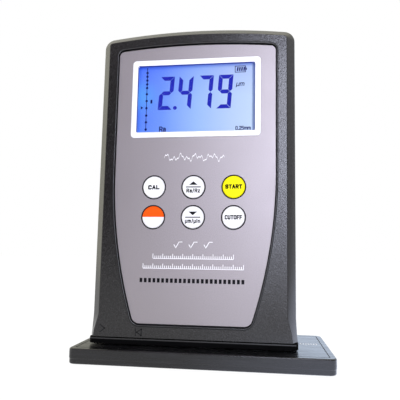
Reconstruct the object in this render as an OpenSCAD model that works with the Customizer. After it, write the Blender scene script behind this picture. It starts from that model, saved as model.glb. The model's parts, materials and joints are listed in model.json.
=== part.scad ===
// Bench surface roughness tester standing on its reference specimen plate.
// Millimetres, +Z up, origin under the middle of the plate, front face towards -Y.

/* [Specimen plate] */
// Width of the plate
plate_w = 99.5; // [96:0.5:110]
// Depth of the plate
plate_d = 41; // [39:0.5:60]
// Height of the plate
plate_h = 5.8; // [5:0.1:8]
// How far the tester stands off the middle of the plate
tester_offset = -4; // [-5:0.1:0]

/* [Housing] */
// Width of the housing
body_w = 80.6; // [79.4:0.1:84]
// Depth of the housing, front face to back
body_d = 30; // [29.5:0.1:32]
// Height of the housing at the middle of its arched top
body_h = 126.6; // [125:0.1:130]
// Radius of the arched top
top_r = 290; // [240:1:400]
// Wall thickness
wall = 2.2; // [2:0.1:2.4]
// How far the front bevel sets the face in from the sides
bevel_in = 3.3; // [3:0.1:3.3]
// Depth of the front bevel
bevel_d = 3.3; // [3.2:0.1:3.8]

/* [Face] */
// Half width of the face overlay
panel_half = 32.25; // [32:0.05:33]
// Top of the overlay at its middle
panel_top = 118.6; // [117.5:0.1:119]
// Foot of the overlay
panel_foot = 5.4; // [5:0.1:8]
// Width of the white display frame
frame_w = 53.1; // [52:0.1:54]
// Height of the white display frame
frame_h = 32.9; // [32:0.1:33]
// Width of the rim of the display frame
frame_rim = 2.2; // [2:0.1:2.4]
// Diameter of a key cap
key_d = 8.8; // [8.5:0.1:9.2]
// Travel of a key
key_travel = 0.6; // [0.3:0.05:0.6]

/* [Traverse drive] */
// Travel of the pick-up
stroke = 17.5; // [10:0.5:18]
// Diameter of the lead screw and the guide rods
rod_d = 3; // [2.8:0.1:3]
// Diameter of the pick-up tube
tube_d = 7; // [6.6:0.1:7]

/* [Hidden] */
$fn = 48;
eps = 0.01;

// The tester stands on rubber feet; its own frame has x across, y back from the face, z up from the housing's foot
foot_h = 0.8;
cover_t = 2.6;
stand_h = foot_h + cover_t;
face_y = -13.8;
half_w = body_w / 2;
seam_y = body_d / 2;
seam_gap = 0.2;
seam_lead = 0.05;
seam_depth = 0.6;
corner_r = 4.5;
corner_steps = 8;
top_steps = 12;
runout_low = 2.5;
runout_high = 8.5;
runout_inset = 2.1;
flare = 0.6;
face_wall_y = 3.2;
pocket_y = 1.2;
overlay_y = 0.5;
pocket_gap = 0.9;
inner_x = half_w - wall;

// Overlay outline
panel_curve_z = 65.5;
panel_curve_r = 193;
panel_top_r = 310;
panel_corner_r = 2;
panel_foot_r = 3.2;

// Display stack, front to back
frame_foot = 79.8;
frame_mid = frame_foot + frame_h / 2;
frame_y = 0.35;
lens_y = 1.4;
lens_t = 1.2;
lens_lap = 1;
fit_gap = 0.1;
glass_y = 3.4;
glass_t = 2.2;
glass_w = 56;
glass_h = 36.4;
light_h = 30;
light_t = 3.2;
strip_t = 2.4;

// Keys, two rows of three
key_x = [-16.1, 0, 16.1];
key_row = [59.2, 47.1];
key_gap = 0.3;
key_y = 0.15;
key_flange_r = 5.5;
key_flange_y = face_wall_y + 0.15;
key_flange_t = 1.05;
key_stem_r = 2;
key_stem_y = 5.55;
key_edge = 0.35;

// Main board and what it carries
board_y = 10;
board_t = 1.6;
board_half = 34;
board_low = 38.6;
board_high = 113.6;
board_fix = [[-31, 42], [31, 42], [-31, 110], [31, 110]];
board_boss_r = 2.5;
switch_side = 6;
switch_h = 3.2;
plunger_r = 1.6;
plunger_h = 0.6;

// Housing screws
screw_at = [[-33.5, 35], [33.5, 35], [-33, 118], [33, 118]];
boss_r = 3;
screw_r = 1.25;
screw_play = 0.05;
screw_head_r = 2.5;
screw_head_h = 2;
screw_seat_y = 19;
screw_tip_y = 7;
counterbore_r = 2.8;

// Data socket in the right-hand wall
jack_y = 7;
jack_z = 68;
jack_r = 1.8;
jack_len = 12;
jack_barrel_r = 3;
jack_body = [11.5, 5.8, 7];

// Battery compartment, four cells side by side
cell_r = 5.25;
cell_len = 44.5;
cell_pitch = 11;
cell_low = 47.5;
cell_nub_r = 1.9;
cell_nub_h = 1;
bay_half = 22.6;
bay_low = 44;
bay_high = 96;
bay_y = 16.5;
bay_wall = 1.5;
door_half = 23;
door_low = 43.5;
door_high = 96.5;
door_t = 1.8;
door_gap = 0.3;
door_pin_r = 0.6;
door_pin_len = 1.3;
door_axis_y = body_d - door_t / 2;
door_axis_z = door_low + door_t / 2;
contact_t = 0.4;
contact_low = bay_low + 0.1;
contact_high = bay_high - 0.1 - contact_t;

// Traverse drive in the foot of the housing
drive_y = 15;
screw_z = 13;
rod_z = 11;
rod_dy = 5;
pinion_teeth = 17;
gear_teeth = 34;
tooth_module = 0.4;
gear_play = 0.06;
pinion_z = screw_z + tooth_module * (pinion_teeth + gear_teeth) / 2 + gear_play;
end_left = -15.4;
end_right = 27;
end_t = 2;
frame_back_y = 25;
frame_t = 2;
frame_low = 4.5;
frame_high = 30;
frame_front_y = 6.5;
left_high = 19;
run_play = 0.05;
carriage_x = -13;
carriage_len = 14;
carriage_low = 7.5;
carriage_high = 16.6;
carriage_half = 7.5;
nut_r = 4;
nut_len = 9;
bush_r = 3;
gear_x = 30.2;
gear_t = 3;
motor_r = 6;
motor_len = 24;
tube_z = 1;
tube_r = tube_d / 2;
tube_nose_x = -29.4;
tube_end_x = 0;
collar_x = -6;
collar_r = 4;
tube_bore_r = 2.6;
stylus_x = -25.9;
stylus_r = 0.5;
stylus_foot_z = 0.1 - stand_h;
pivot_x = -14;
pivot_r = 0.6;
skid_x = -22.4;
slot_half = 4.5;
slot_left = -30.6;
slot_right = carriage_x + carriage_len + stroke + 1.6;
drive_fix = [[-9, 22], [22, 27], [-9, 7], [22, 7]];
drive_post_r = 3;
small_screw_r = 1;
small_head_r = 1.9;
small_head_h = 1.4;

// Bottom cover
cover_half = 41;
cover_r = 3;
groove = 0.4;
plug_gap = 0.2;
plug_t = 1.6;
plug_high = 2.4;
cover_floor = 0.2;
cover_fix_x = 34.2;
cover_fix_y = 24.2;
cover_post_high = 8;
cover_post_r = 2.8;
foot_r = 3;
foot_at = [[-33, 4.6], [33, 4.6], [-33, 25.4], [33, 25.4]];

// Specimen in the plate, under the stylus
specimen_w = 70;
specimen_d = 10;
specimen_t = 2.2;
specimen_y = face_y + drive_y;
line_inset = 2.2;
line_w = 0.35;
line_deep = 0.3;
plate_corner_r = 2.4;
plate_edge_r = 0.45;
plate_step = 0.12;
plate_step_z = 2;

// Shared outlines, counter-clockwise in x and z as seen from the front

function arc(cx, cz, r, from, to, n) =
  [for (i = [0:n]) let (a = from + (to - from) * i / n) [cx + r * cos(a), cz + r * sin(a)]];

function other_side(pts) = [for (i = [len(pts) - 1:-1:0]) [-pts[i][0], pts[i][1]]];

// Right half of an arched top: a corner round that runs into the long arc over the middle
function arched_top(half, top, r, corner) =
  let (cz = top - r,
       corner_z = cz + sqrt(pow(r - corner, 2) - pow(half - corner, 2)),
       turn = atan2(corner_z - cz, half - corner),
       step = (90 - turn) / (top_steps + 0.5))
  concat(arc(half - corner, corner_z, corner, 0, turn, corner_steps),
         [for (i = [1:top_steps]) let (a = turn + step * i) [r * cos(a), cz + r * sin(a)]]);

// Housing outline set in by d, whose bevel runs out just above the slightly flared foot
function body_outline(d) =
  let (foot = half_w - min(d, runout_inset),
       right = concat([[foot + flare, 0], [foot + flare * 0.6, runout_low], [half_w - d, runout_high]],
                      arched_top(half_w - d, body_h - d, top_r - d, max(corner_r - d, 1.2))))
  concat(right, other_side(right));

// Plain housing outline set in by d, running on below the foot, for the hollow inside
function hollow_outline(d, foot) =
  let (right = concat([[half_w - d, foot]],
                      arched_top(half_w - d, body_h - d, top_r - d, max(corner_r - d, 1.2))))
  concat(right, other_side(right));

// Overlay outline set in by d: straight above, drawn in along an arc towards its foot
function panel_outline(d) =
  let (half = panel_half - d,
       cx = half - panel_curve_r,
       foot_r = panel_foot_r - d,
       foot_z = panel_foot + d + foot_r,
       foot_x = cx + sqrt(pow(panel_curve_r - foot_r, 2) - pow(panel_curve_z - foot_z, 2)),
       turn = atan2(foot_z - panel_curve_z, foot_x - cx),
       right = concat(arc(foot_x, foot_z, foot_r, -90, turn, corner_steps),
                      [for (i = [1:top_steps]) let (a = turn * (1 - i / top_steps))
                         [cx + panel_curve_r * cos(a), panel_curve_z + panel_curve_r * sin(a)]],
                      arched_top(half, panel_top - d, panel_top_r - d, panel_corner_r - d)))
  concat(right, other_side(right));

function round_rect(w, h, r, n = 6) =
  concat(arc(w / 2 - r, -h / 2 + r, r, -90, 0, n), arc(w / 2 - r, h / 2 - r, r, 0, 90, n),
         arc(-w / 2 + r, h / 2 - r, r, 90, 180, n), arc(-w / 2 + r, -h / 2 + r, r, 180, 270, n));

// Spur gear outline with involute flanks above the base circle and radial ones below it
function inv(a) = tan(a) - a * PI / 180;
function flank(r, base, half_angle) =
  half_angle + (inv(20) - (r > base ? inv(acos(base / r)) : 0)) * 180 / PI;
function gear_outline(teeth, m, play) =
  let (pitch = m * teeth / 2, base = pitch * cos(20), tip = pitch + 0.9 * m, root = pitch - 1.25 * m,
       half_angle = 90 / teeth - play / pitch * 90 / PI,
       radii = [root, base, (base + pitch) / 2, pitch, (pitch + tip) / 2, tip])
  [for (t = [0:teeth - 1], s = [-1, 1], i = [0:5])
     let (r = radii[s < 0 ? i : 5 - i], a = 360 * t / teeth + s * flank(r, base, half_angle))
     [r * cos(a), r * sin(a)]];

// Shared solids

module in_tester() {
  translate([tester_offset, face_y, plate_h + stand_h]) children();
}

// Solid through sections [y, outline] with one number of points; each outline is the same on both sides of x = 0,
// so its ends are closed by strips across it, which also suit an outline that is not convex
module loft(sections) {
  n = len(sections[0][1]);
  last = len(sections) - 1;
  strips = [for (i = [0:n / 2 - 2]) [i, i + 1, n - 2 - i, n - 1 - i]];
  polyhedron(
    points = [for (s = sections, p = s[1]) [p[0], s[0], p[1]]],
    faces = concat(
      [for (s = strips) [s[3], s[2], s[1], s[0]]],
      [for (k = [0:last - 1], i = [0:n - 1]) let (j = (i + 1) % n) [k * n + i, k * n + j, (k + 1) * n + j]],
      [for (k = [0:last - 1], i = [0:n - 1]) let (j = (i + 1) % n) [k * n + i, (k + 1) * n + j, (k + 1) * n + i]],
      [for (s = strips) [for (v = s) last * n + v]]));
}

module prism_y(y0, y1) {
  translate([0, y1, 0]) rotate([90, 0, 0]) linear_extrude(y1 - y0) children();
}

module rod_y(x, z, y0, y1, r) {
  translate([x, y1, z]) rotate([90, 0, 0]) cylinder(h = y1 - y0, r = r);
}

module rod_x(x0, x1, y, z, r) {
  translate([x0, y, z]) rotate([0, 90, 0]) cylinder(h = x1 - x0, r = r);
}

module box(x0, x1, y0, y1, z0, z1) {
  translate([x0, y0, z0]) cube([x1 - x0, y1 - y0, z1 - z0]);
}

module window(w, h, r, y0, y1) {
  translate([0, 0, frame_mid]) prism_y(y0, y1) polygon(round_rect(w, h, r));
}

module key_holes(y0, y1) {
  for (x = key_x, z = key_row) rod_y(x, z, y0, y1, key_d / 2 + key_gap);
}

// Pan-head screw along y, head towards +y, with a cross recess
module screw_y(x, z, seat, tip, r, head_r, head_h) {
  difference() {
    union() {
      rod_y(x, z, tip, seat + eps, r);
      rod_y(x, z, seat, seat + head_h, head_r);
    }
    for (turn = [0, 90])
      translate([x, seat + head_h, z]) rotate([0, turn, 0])
        cube([head_r * 1.2, head_h, head_r * 0.3], center = true);
  }
}

// Specimen plate

module base_plate() {
  rounding = [[0, plate_edge_r], [0.15, 0.15], [plate_edge_r, 0]];
  profile = concat([for (r = rounding) [r[0], r[1] + plate_step]],
                   [[plate_step_z, plate_step], [plate_step_z + 0.2, 0]],
                   [for (i = [2:-1:0]) [plate_h - rounding[i][0], rounding[i][1]]]);
  color([0.13, 0.13, 0.15]) difference() {
    rotate([90, 0, 0])
      loft([for (p = profile) [p[0], round_rect(plate_w - 2 * p[1], plate_d - 2 * p[1], plate_corner_r)]]);
    translate([0, specimen_y, plate_h - specimen_t])
      linear_extrude(specimen_t + 1) square([specimen_w, specimen_d], center = true);
    translate([0, 0, plate_h - line_deep]) linear_extrude(1) difference() {
      square([plate_w - 2 * line_inset, plate_d - 2 * line_inset], center = true);
      square([plate_w - 2 * (line_inset + line_w), plate_d - 2 * (line_inset + line_w)], center = true);
    }
  }
}

module specimen() {
  play = 0.2;
  color([0.72, 0.73, 0.74]) translate([0, specimen_y, plate_h - specimen_t])
    linear_extrude(specimen_t) square([specimen_w - play, specimen_d - play], center = true);
}

// Housing

module front_housing() {
  sections = [
    [0, body_outline(bevel_in + 0.25)],
    [0.12, body_outline(bevel_in + 0.05)],
    [0.35, body_outline(bevel_in - 0.2)],
    [bevel_d - 0.2, body_outline(0.2)],
    [bevel_d + 0.1, body_outline(0.05)],
    [bevel_d + 0.5, body_outline(0)],
    [seam_y - seam_gap - seam_lead, body_outline(0)],
    [seam_y - seam_gap, body_outline(seam_depth)],
    [seam_y, body_outline(seam_depth)]];
  color([0.15, 0.15, 0.17]) in_tester() difference() {
    union() {
      difference() {
        loft(sections);
        prism_y(face_wall_y, seam_y + 1) polygon(hollow_outline(wall, -1));
      }
      for (p = screw_at) rod_y(p[0], p[1], face_wall_y - eps, seam_y, boss_r);
      for (p = board_fix) rod_y(p[0], p[1], face_wall_y - eps, board_y, board_boss_r);
    }
    prism_y(-1, pocket_y) polygon(panel_outline(-pocket_gap));
    window(frame_w + 2 * fit_gap, frame_h + 2 * fit_gap, 1.6, 0, face_wall_y + 1);
    key_holes(0, face_wall_y + 1);
    for (p = screw_at) rod_y(p[0], p[1], screw_tip_y - 1, seam_y + 1, screw_r + screw_play);
    for (p = board_fix) rod_y(p[0], p[1], board_y - 5, board_y + 1, small_screw_r + screw_play);
    rod_x(inner_x - 1, half_w + 1, jack_y, jack_z, jack_barrel_r + 0.15);
  }
}

module rear_housing() {
  back = body_d;
  sections = [
    [seam_y, body_outline(seam_depth)],
    [seam_y + seam_gap, body_outline(seam_depth)],
    [seam_y + seam_gap + seam_lead, body_outline(0)],
    [back - bevel_d - 0.4, body_outline(0)],
    [back - bevel_d, body_outline(0.1)],
    [back - 0.6, body_outline(bevel_in - 0.5)],
    [back - 0.2, body_outline(bevel_in - 0.1)],
    [back, body_outline(bevel_in + 0.3)]];
  inner_back = back - 2;
  color([0.15, 0.15, 0.17]) in_tester() difference() {
    union() {
      difference() {
        loft(sections);
        prism_y(seam_y - 1, inner_back) polygon(hollow_outline(wall, -1));
      }
      for (p = screw_at) rod_y(p[0], p[1], seam_y, inner_back + eps, boss_r + 0.8);
      for (p = drive_fix) rod_y(p[0], p[1], frame_back_y + frame_t, inner_back + eps, drive_post_r);
      box(-bay_half - bay_wall, bay_half + bay_wall, bay_y - bay_wall, inner_back + eps,
          bay_low - bay_wall, bay_high + bay_wall);
      for (s = [-1, 1]) {
        translate([s * cover_fix_x, cover_fix_y, plug_high + 0.2])
          cylinder(h = cover_post_high - plug_high, r = cover_post_r);
        translate([s * (cover_fix_x + inner_x + 0.2) / 2, cover_fix_y, (cover_post_high + plug_high + 0.4) / 2])
          cube([inner_x + 0.2 - cover_fix_x, 3, cover_post_high - plug_high], center = true);
      }
    }
    box(-bay_half, bay_half, bay_y, back + 1, bay_low, bay_high);
    box(-door_half - door_gap, door_half + door_gap, back - door_t, back + 1,
        door_low - door_gap, door_high + door_gap);
    rod_x(-door_half - door_pin_len - 0.2, door_half + door_pin_len + 0.2,
          door_axis_y, door_axis_z, door_pin_r + run_play);
    // finger scoop over the top edge of the door
    translate([0, back + 5.2, door_high + 2.2]) rotate([0, 90, 0])
      cylinder(h = 14, r = 6.4, center = true);
    for (p = screw_at) {
      rod_y(p[0], p[1], seam_y - 1, back + 1, screw_r + screw_play);
      rod_y(p[0], p[1], screw_seat_y, back + 1, counterbore_r);
    }
    for (p = drive_fix) rod_y(p[0], p[1], frame_back_y, inner_back + 0.8, small_screw_r + screw_play);
    for (s = [-1, 1])
      translate([s * cover_fix_x, cover_fix_y, 0]) cylinder(h = cover_post_high - 0.8, r = screw_r + screw_play);
  }
}

module bottom_cover() {
  plug_w = 2 * (inner_x - plug_gap);
  plug_y0 = face_wall_y + plug_gap;
  plug_y1 = body_d - 2 - plug_gap;
  mid_y = body_d / 2;
  plug_d = plug_y1 - plug_y0;
  color([0.08, 0.08, 0.085]) in_tester() difference() {
    union() {
      translate([0, mid_y, -cover_t]) linear_extrude(cover_t - groove)
        polygon(round_rect(2 * cover_half, body_d, cover_r));
      translate([0, (plug_y0 + plug_y1) / 2, -groove - eps]) linear_extrude(plug_high + groove) difference() {
        square([plug_w, plug_d], center = true);
        square([plug_w - 2 * plug_t, plug_d - 2 * plug_t], center = true);
      }
      translate([0, (plug_y0 + plug_y1) / 2, -groove - eps]) linear_extrude(groove + cover_floor)
        square([plug_w - plug_t, plug_d - plug_t], center = true);
      for (s = [-1, 1]) translate([s * cover_fix_x, cover_fix_y, -groove])
        cylinder(h = groove + plug_high, r = cover_post_r);
    }
    translate([(slot_left + slot_right) / 2, drive_y, -cover_t - 1]) linear_extrude(cover_t + cover_floor + 2)
      polygon(round_rect(slot_right - slot_left, 2 * slot_half, 1.5));
    for (s = [-1, 1]) translate([s * cover_fix_x, cover_fix_y, -cover_t - 1]) {
      cylinder(h = plug_high + cover_t + 2, r = screw_r + 0.15);
      cylinder(h = 1 + small_head_h, r = counterbore_r);
    }
  }
}

module rubber_feet() {
  color([0.05, 0.05, 0.05]) in_tester() for (p = foot_at)
    translate([p[0], p[1], -stand_h]) cylinder(h = foot_h, r1 = foot_r - 0.3, r2 = foot_r);
}

module housing_screws() {
  color([0.55, 0.55, 0.56]) in_tester() for (p = screw_at)
    screw_y(p[0], p[1], screw_seat_y, screw_tip_y, screw_r, screw_head_r, screw_head_h);
}

module cover_screws() {
  color([0.55, 0.55, 0.56]) in_tester() for (s = [-1, 1])
    translate([s * cover_fix_x, cover_fix_y, -cover_t + small_head_h]) rotate([90, 0, 0])
      mirror([0, 1, 0]) screw_y(0, 0, 0, -7, screw_r, screw_head_r, small_head_h - 0.2);
}

// Face

module face_overlay() {
  color([0.66, 0.64, 0.69]) in_tester() difference() {
    prism_y(overlay_y, pocket_y) polygon(panel_outline(0));
    window(frame_w + 2 * fit_gap, frame_h + 2 * fit_gap, 1.6, 0, pocket_y + 1);
    key_holes(0, pocket_y + 1);
  }
}

module display_frame() {
  color([0.95, 0.95, 0.95]) in_tester() difference() {
    window(frame_w, frame_h, 1.5, frame_y, face_wall_y);
    window(frame_w - 2 * frame_rim, frame_h - 2 * frame_rim, 0.5, 0, face_wall_y + 1);
    window(frame_w - 2 * (frame_rim - lens_lap) + 2 * fit_gap, frame_h - 2 * (frame_rim - lens_lap) + 2 * fit_gap,
           0.5, lens_y, face_wall_y + 1);
  }
}

module display_lens() {
  color([0.8, 0.85, 0.95, 0.3]) in_tester()
    window(frame_w - 2 * (frame_rim - lens_lap), frame_h - 2 * (frame_rim - lens_lap), 0.5, lens_y, lens_y + lens_t);
}

// Turned key: cap with a broken edge, flange behind the face wall, stem down to its switch
module key(x, z, tint) {
  r = key_d / 2;
  profile = [
    [0, key_y], [r - key_edge, key_y], [r, key_y + key_edge], [r, key_flange_y],
    [key_flange_r, key_flange_y], [key_flange_r, key_flange_y + key_flange_t],
    [key_stem_r, key_flange_y + key_flange_t], [key_stem_r, key_stem_y], [0, key_stem_y]];
  color(tint) in_tester() translate([x, 0, z]) rotate([-90, 0, 0]) rotate_extrude() polygon(profile);
}

module key_cal() { key(key_x[0], key_row[0], [0.95, 0.95, 0.95]); }
module key_up() { key(key_x[1], key_row[0], [0.95, 0.95, 0.95]); }
module key_start() { key(key_x[2], key_row[0], [0.98, 0.93, 0.05]); }
module key_power() { key(key_x[0], key_row[1], [0.95, 0.4, 0.1]); }
module key_down() { key(key_x[1], key_row[1], [0.95, 0.95, 0.95]); }
module key_cutoff() { key(key_x[2], key_row[1], [0.95, 0.95, 0.95]); }

// Electronics

module main_board() {
  color([0.08, 0.35, 0.2]) in_tester() difference() {
    box(-board_half, board_half, board_y, board_y + board_t, board_low, board_high);
    for (p = board_fix) rod_y(p[0], p[1], board_y - 1, board_y + board_t + 1, small_screw_r + 0.15);
  }
}

module board_screws() {
  color([0.75, 0.75, 0.76]) in_tester() for (p = board_fix)
    screw_y(p[0], p[1], board_y + board_t, board_y - 4, small_screw_r, small_head_r, small_head_h);
}

module lcd_glass() {
  color([0.45, 0.6, 0.95]) in_tester() window(glass_w, glass_h, 0.3, glass_y, glass_y + glass_t);
}

module lcd_backlight() {
  color([0.9, 0.95, 1]) in_tester()
    window(glass_w - 2, light_h, 0.5, glass_y + glass_t, glass_y + glass_t + light_t);
}

module lcd_connectors() {
  color([0.35, 0.3, 0.35]) in_tester() for (s = [-1, 1])
    translate([0, 0, frame_mid + s * (glass_h - strip_t) / 2])
      box(-glass_w / 2 + 2, glass_w / 2 - 2, glass_y + glass_t, board_y, -strip_t / 2, strip_t / 2);
}

module key_switches() {
  color([0.2, 0.2, 0.21]) in_tester() for (x = key_x, z = key_row) {
    box(x - switch_side / 2, x + switch_side / 2, board_y - switch_h, board_y,
        z - switch_side / 2, z + switch_side / 2);
    rod_y(x, z, board_y - switch_h - plunger_h, board_y - switch_h + eps, plunger_r);
  }
}

// Gull-wing package on the back of the board: moulding with a row of legs on two sides
module chip(x, z, w, h, legs) {
  y0 = board_y + board_t;
  box(x - w / 2, x + w / 2, y0 + 0.15, y0 + 1.7, z - h / 2, z + h / 2);
  pitch = h / legs;
  for (i = [0:legs - 1], s = [-1, 1])
    translate([x + s * (w / 2 + 0.4), y0 + 0.35, z - h / 2 + pitch * (i + 0.5)])
      cube([1, 0.7, pitch * 0.4], center = true);
}

module processor() {
  color([0.07, 0.07, 0.08]) in_tester() chip(-8, 104, 10, 10, 10);
}

module memory_chips() {
  color([0.07, 0.07, 0.08]) in_tester() for (x = [8, 20]) chip(x, 104, 4, 5, 4);
}

module clock_crystal() {
  y0 = board_y + board_t;
  color([0.8, 0.8, 0.8]) in_tester() translate([-22, y0, 104]) rotate([-90, 0, 0])
    linear_extrude(3) polygon(round_rect(4.4, 10.5, 2.1));
}

module buzzer() {
  y0 = board_y + board_t;
  color([0.1, 0.1, 0.1]) in_tester() translate([-29, y0, 60]) rotate([-90, 0, 0]) difference() {
    cylinder(h = 5, r = 4.5);
    translate([0, 0, 4]) cylinder(h = 2, r = 1);
  }
}

module data_socket() {
  x1 = inner_x - 0.3;
  color([0.06, 0.06, 0.06]) in_tester() difference() {
    union() {
      box(x1 - jack_body[0], x1, board_y - jack_body[1], board_y, jack_z - jack_body[2] / 2, jack_z + jack_body[2] / 2);
      rod_x(x1 - eps, half_w, jack_y, jack_z, jack_barrel_r);
    }
    rod_x(half_w - jack_len, half_w + 1, jack_y, jack_z, jack_r);
  }
}

// Battery bay

module battery_door() {
  ridge_pitch = 2.2;
  color([0.15, 0.15, 0.17]) in_tester() difference() {
    union() {
      box(-door_half, door_half, body_d - door_t, body_d, door_axis_z, door_high);
      rod_x(-door_half, door_half, door_axis_y, door_axis_z, door_t / 2);
      rod_x(-door_half - door_pin_len, door_half + door_pin_len, door_axis_y, door_axis_z, door_pin_r);
    }
    for (i = [0:4])
      box(-9, 9, body_d - 0.5, body_d + 1, door_high - 5 - i * ridge_pitch, door_high - 4 - i * ridge_pitch);
  }
}

function cell_x(i) = (i - 1.5) * cell_pitch;
cell_y = bay_y + cell_r + 0.3;

module battery_cells() {
  color([0.75, 0.62, 0.25]) in_tester() for (i = [0:3]) translate([cell_x(i), cell_y, cell_low]) {
    up = i % 2 == 0;
    cylinder(h = cell_len, r = cell_r);
    translate([0, 0, up ? cell_len - eps : -cell_nub_h]) cylinder(h = cell_nub_h + eps, r = cell_nub_r);
  }
}

// Conical coil between a contact plate and the flat end of a cell
module coil(from, to) {
  turns = 3;
  steps = 12;
  sides = 6;
  wire = 0.3;
  wide = 3.4;
  narrow = 2.2;
  n = turns * steps;
  lift = to - from - 2 * wire * sign(to - from);
  rings = [for (i = [0:n]) let (a = 360 * i / steps, r = wide + (narrow - wide) * i / n,
                                 z = from + wire * sign(to - from) + lift * i / n)
    [for (k = [0:sides - 1]) let (b = 360 * k / sides, q = r + wire * cos(b))
       [q * cos(a), q * sin(a), z + wire * sin(b)]]];
  polyhedron(
    points = [for (ring = rings, p = ring) p],
    faces = concat(
      [[for (k = [0:sides - 1]) k]],
      [for (i = [0:n - 1], k = [0:sides - 1]) let (j = (k + 1) % sides)
         [i * sides + k, (i + 1) * sides + k, (i + 1) * sides + j, i * sides + j]],
      [[for (k = [sides - 1:-1:0]) n * sides + k]]));
}

module battery_springs() {
  color([0.8, 0.8, 0.78]) in_tester() for (i = [0:3]) translate([cell_x(i), cell_y, 0]) {
    if (i % 2 == 0) coil(contact_low + contact_t + 0.05, cell_low - 0.05);
    else translate([0, 0, contact_high + cell_low + cell_len]) mirror([0, 0, 1])
      coil(cell_low + cell_len + 0.05, contact_high - 0.05);
  }
}

module battery_contacts() {
  side = 9;
  bump_r = 1.6;
  color([0.8, 0.8, 0.78]) in_tester() for (i = [0:3]) {
    x = cell_x(i);
    up = i % 2 == 0;
    tip = up ? cell_low + cell_len + cell_nub_h + 0.1 : cell_low - cell_nub_h - 0.1;
    for (z = [contact_low, contact_high])
      box(x - side / 2, x + side / 2, cell_y - side / 2, cell_y + side / 2, z, z + contact_t);
    // the plate at the positive end is pressed out towards the cell's nub
    if (up) translate([x, cell_y, tip]) cylinder(h = contact_high - tip + eps, r1 = bump_r, r2 = bump_r + 0.8);
    else translate([x, cell_y, contact_low + contact_t - eps])
      cylinder(h = tip - contact_low - contact_t, r1 = bump_r + 0.8, r2 = bump_r);
  }
}

// Traverse drive

module drive_frame() {
  color([0.7, 0.71, 0.72]) in_tester() difference() {
    union() {
      box(end_left, end_right + end_t, frame_back_y, frame_back_y + frame_t, frame_low, frame_high);
      box(end_left, end_left + end_t, frame_front_y, frame_back_y + eps, frame_low, left_high);
      box(end_right, end_right + end_t, frame_front_y, frame_back_y + eps, frame_low, frame_high);
    }
    for (s = [-1, 1])
      rod_x(end_left - 1, end_right + end_t + 1, drive_y + s * rod_dy, rod_z, rod_d / 2 + 0.02);
    rod_x(end_left - 1, end_right + end_t + 1, drive_y, screw_z, bush_r + 0.02);
    rod_x(end_right - 1, end_right + end_t + 1, drive_y, pinion_z, 1.5);
    for (p = drive_fix) rod_y(p[0], p[1], frame_back_y - 1, frame_back_y + frame_t + 1, small_screw_r + 0.15);
    // clears the pick-up where it passes under the end plates
    rod_x(end_left - 1, end_right + end_t + 1, drive_y, tube_z, collar_r + 0.6);
  }
}

module drive_screws() {
  color([0.75, 0.75, 0.76]) in_tester() for (p = drive_fix)
    translate([p[0], frame_back_y, p[1]]) mirror([0, 1, 0])
      screw_y(0, 0, 0, -3.4, small_screw_r, small_head_r, small_head_h);
}

module guide_rods() {
  color([0.8, 0.8, 0.82]) in_tester() for (s = [-1, 1])
    rod_x(end_left, end_right + end_t, drive_y + s * rod_dy, rod_z, rod_d / 2);
}

module screw_bushes() {
  color([0.72, 0.5, 0.25]) in_tester() for (x = [end_left, end_right]) difference() {
    rod_x(x, x + end_t, drive_y, screw_z, bush_r);
    rod_x(x - 1, x + end_t + 1, drive_y, screw_z, rod_d / 2 + run_play);
  }
}

module drive_motor() {
  gearbox_len = 9;
  flat = 5;
  color([0.62, 0.63, 0.65]) in_tester() {
    translate([end_right - motor_len, drive_y, pinion_z]) rotate([0, 90, 0]) {
      intersection() {
        cylinder(h = motor_len - gearbox_len, r = motor_r);
        translate([-flat, -motor_r, 0]) cube([2 * flat, 2 * motor_r, motor_len]);
      }
      translate([0, 0, motor_len - gearbox_len - eps]) linear_extrude(gearbox_len + eps)
        square([2 * flat, 2 * motor_r], center = true);
      for (s = [-1, 1]) translate([0, s * 3.5, -1]) cube([0.5, 1.6, 2 + eps], center = true);
    }
  }
}

module motor_pinion() {
  shaft_r = 1;
  color([0.8, 0.7, 0.4]) in_tester() {
    translate([gear_x, drive_y, pinion_z]) rotate([0, 90, 0]) rotate(180 / pinion_teeth)
      linear_extrude(gear_t) polygon(gear_outline(pinion_teeth, tooth_module, gear_play));
    rod_x(end_right + 0.2, gear_x + gear_t + 0.6, drive_y, pinion_z, shaft_r);
  }
}

module lead_screw() {
  color([0.75, 0.75, 0.78]) in_tester()
    rod_x(end_left - 0.6, gear_x + gear_t + 0.8, drive_y, screw_z, rod_d / 2);
}

module screw_gear() {
  hub_r = 2.8;
  color([0.92, 0.9, 0.82]) in_tester() difference() {
    union() {
      translate([gear_x, drive_y, screw_z]) rotate([0, 90, 0])
        linear_extrude(gear_t) polygon(gear_outline(gear_teeth, tooth_module, gear_play));
      rod_x(end_right + end_t + 0.3, gear_x + eps, drive_y, screw_z, hub_r);
    }
    rod_x(end_right, gear_x + gear_t + 1, drive_y, screw_z, rod_d / 2 + 0.01);
  }
}

module carriage() {
  x1 = carriage_x + carriage_len;
  color([0.25, 0.26, 0.28]) in_tester() difference() {
    union() {
      box(carriage_x, x1, drive_y - carriage_half, drive_y + carriage_half, carriage_low, carriage_high);
      box(collar_x, x1, drive_y - collar_r, drive_y + collar_r, tube_z, carriage_low + eps);
      rod_x(collar_x, x1, drive_y, tube_z, collar_r);
    }
    for (s = [-1, 1])
      rod_x(carriage_x - 1, x1 + 1, drive_y + s * rod_dy, rod_z, rod_d / 2 + run_play);
    rod_x(carriage_x - 1, x1 + 1, drive_y, screw_z, rod_d / 2 + 0.4);
    rod_x(carriage_x - 1, carriage_x + nut_len, drive_y, screw_z, nut_r - 0.98);
    rod_x(collar_x - 1, tube_end_x, drive_y, tube_z, tube_r + 0.02);
  }
}

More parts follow.
